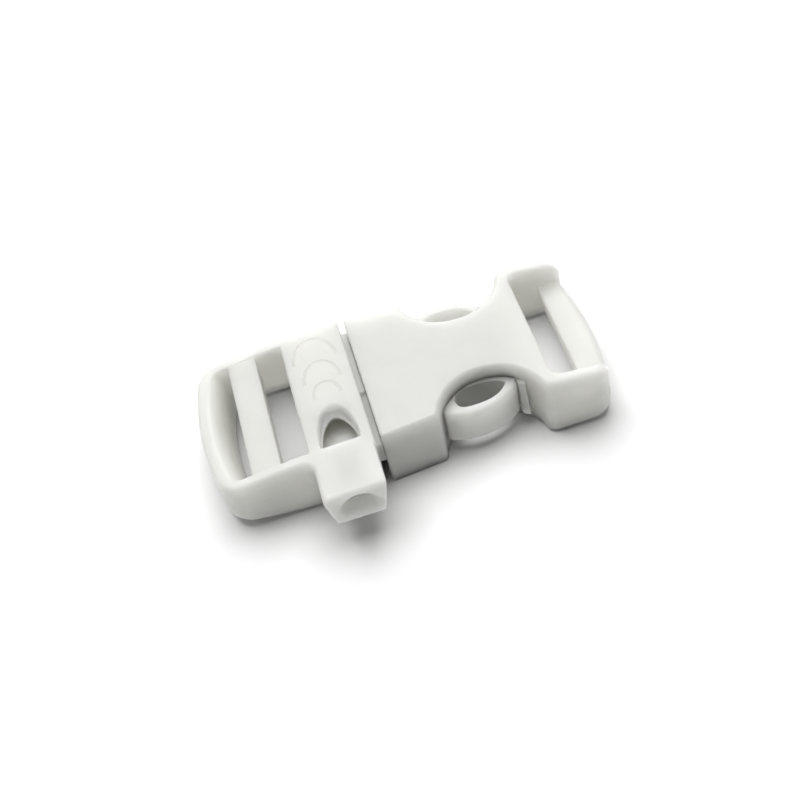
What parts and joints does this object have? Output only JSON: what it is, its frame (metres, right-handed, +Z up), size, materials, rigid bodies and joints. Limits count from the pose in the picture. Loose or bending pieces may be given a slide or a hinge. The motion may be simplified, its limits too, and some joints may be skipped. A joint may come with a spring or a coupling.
{
  "type": "side release buckle with a whistle built into its prong half",
  "caption": "Fastened side release buckle for narrow webbing, with a whistle moulded into the prong half and its mouthpiece standing out at one side.",
  "frame": {"origin": "middle of the underside of the buckle's box, mouthpiece included, on the surface that it lies on", "axes": "+X along the buckle, from the whistle and the frame's end towards the socket's strap bar; -Y the way the mouthpiece points; +Z up, out of the whistle's window"},
  "size_m": [0.0568, 0.0316, 0.0097],
  "materials": {
    "moulded_acetal": "white acetal, injection moulded, satin"
  },
  "bodies": {
    "root": {"male_half": "moulded_acetal", "female_half": "moulded_acetal"}
  },
  "joints": []
}
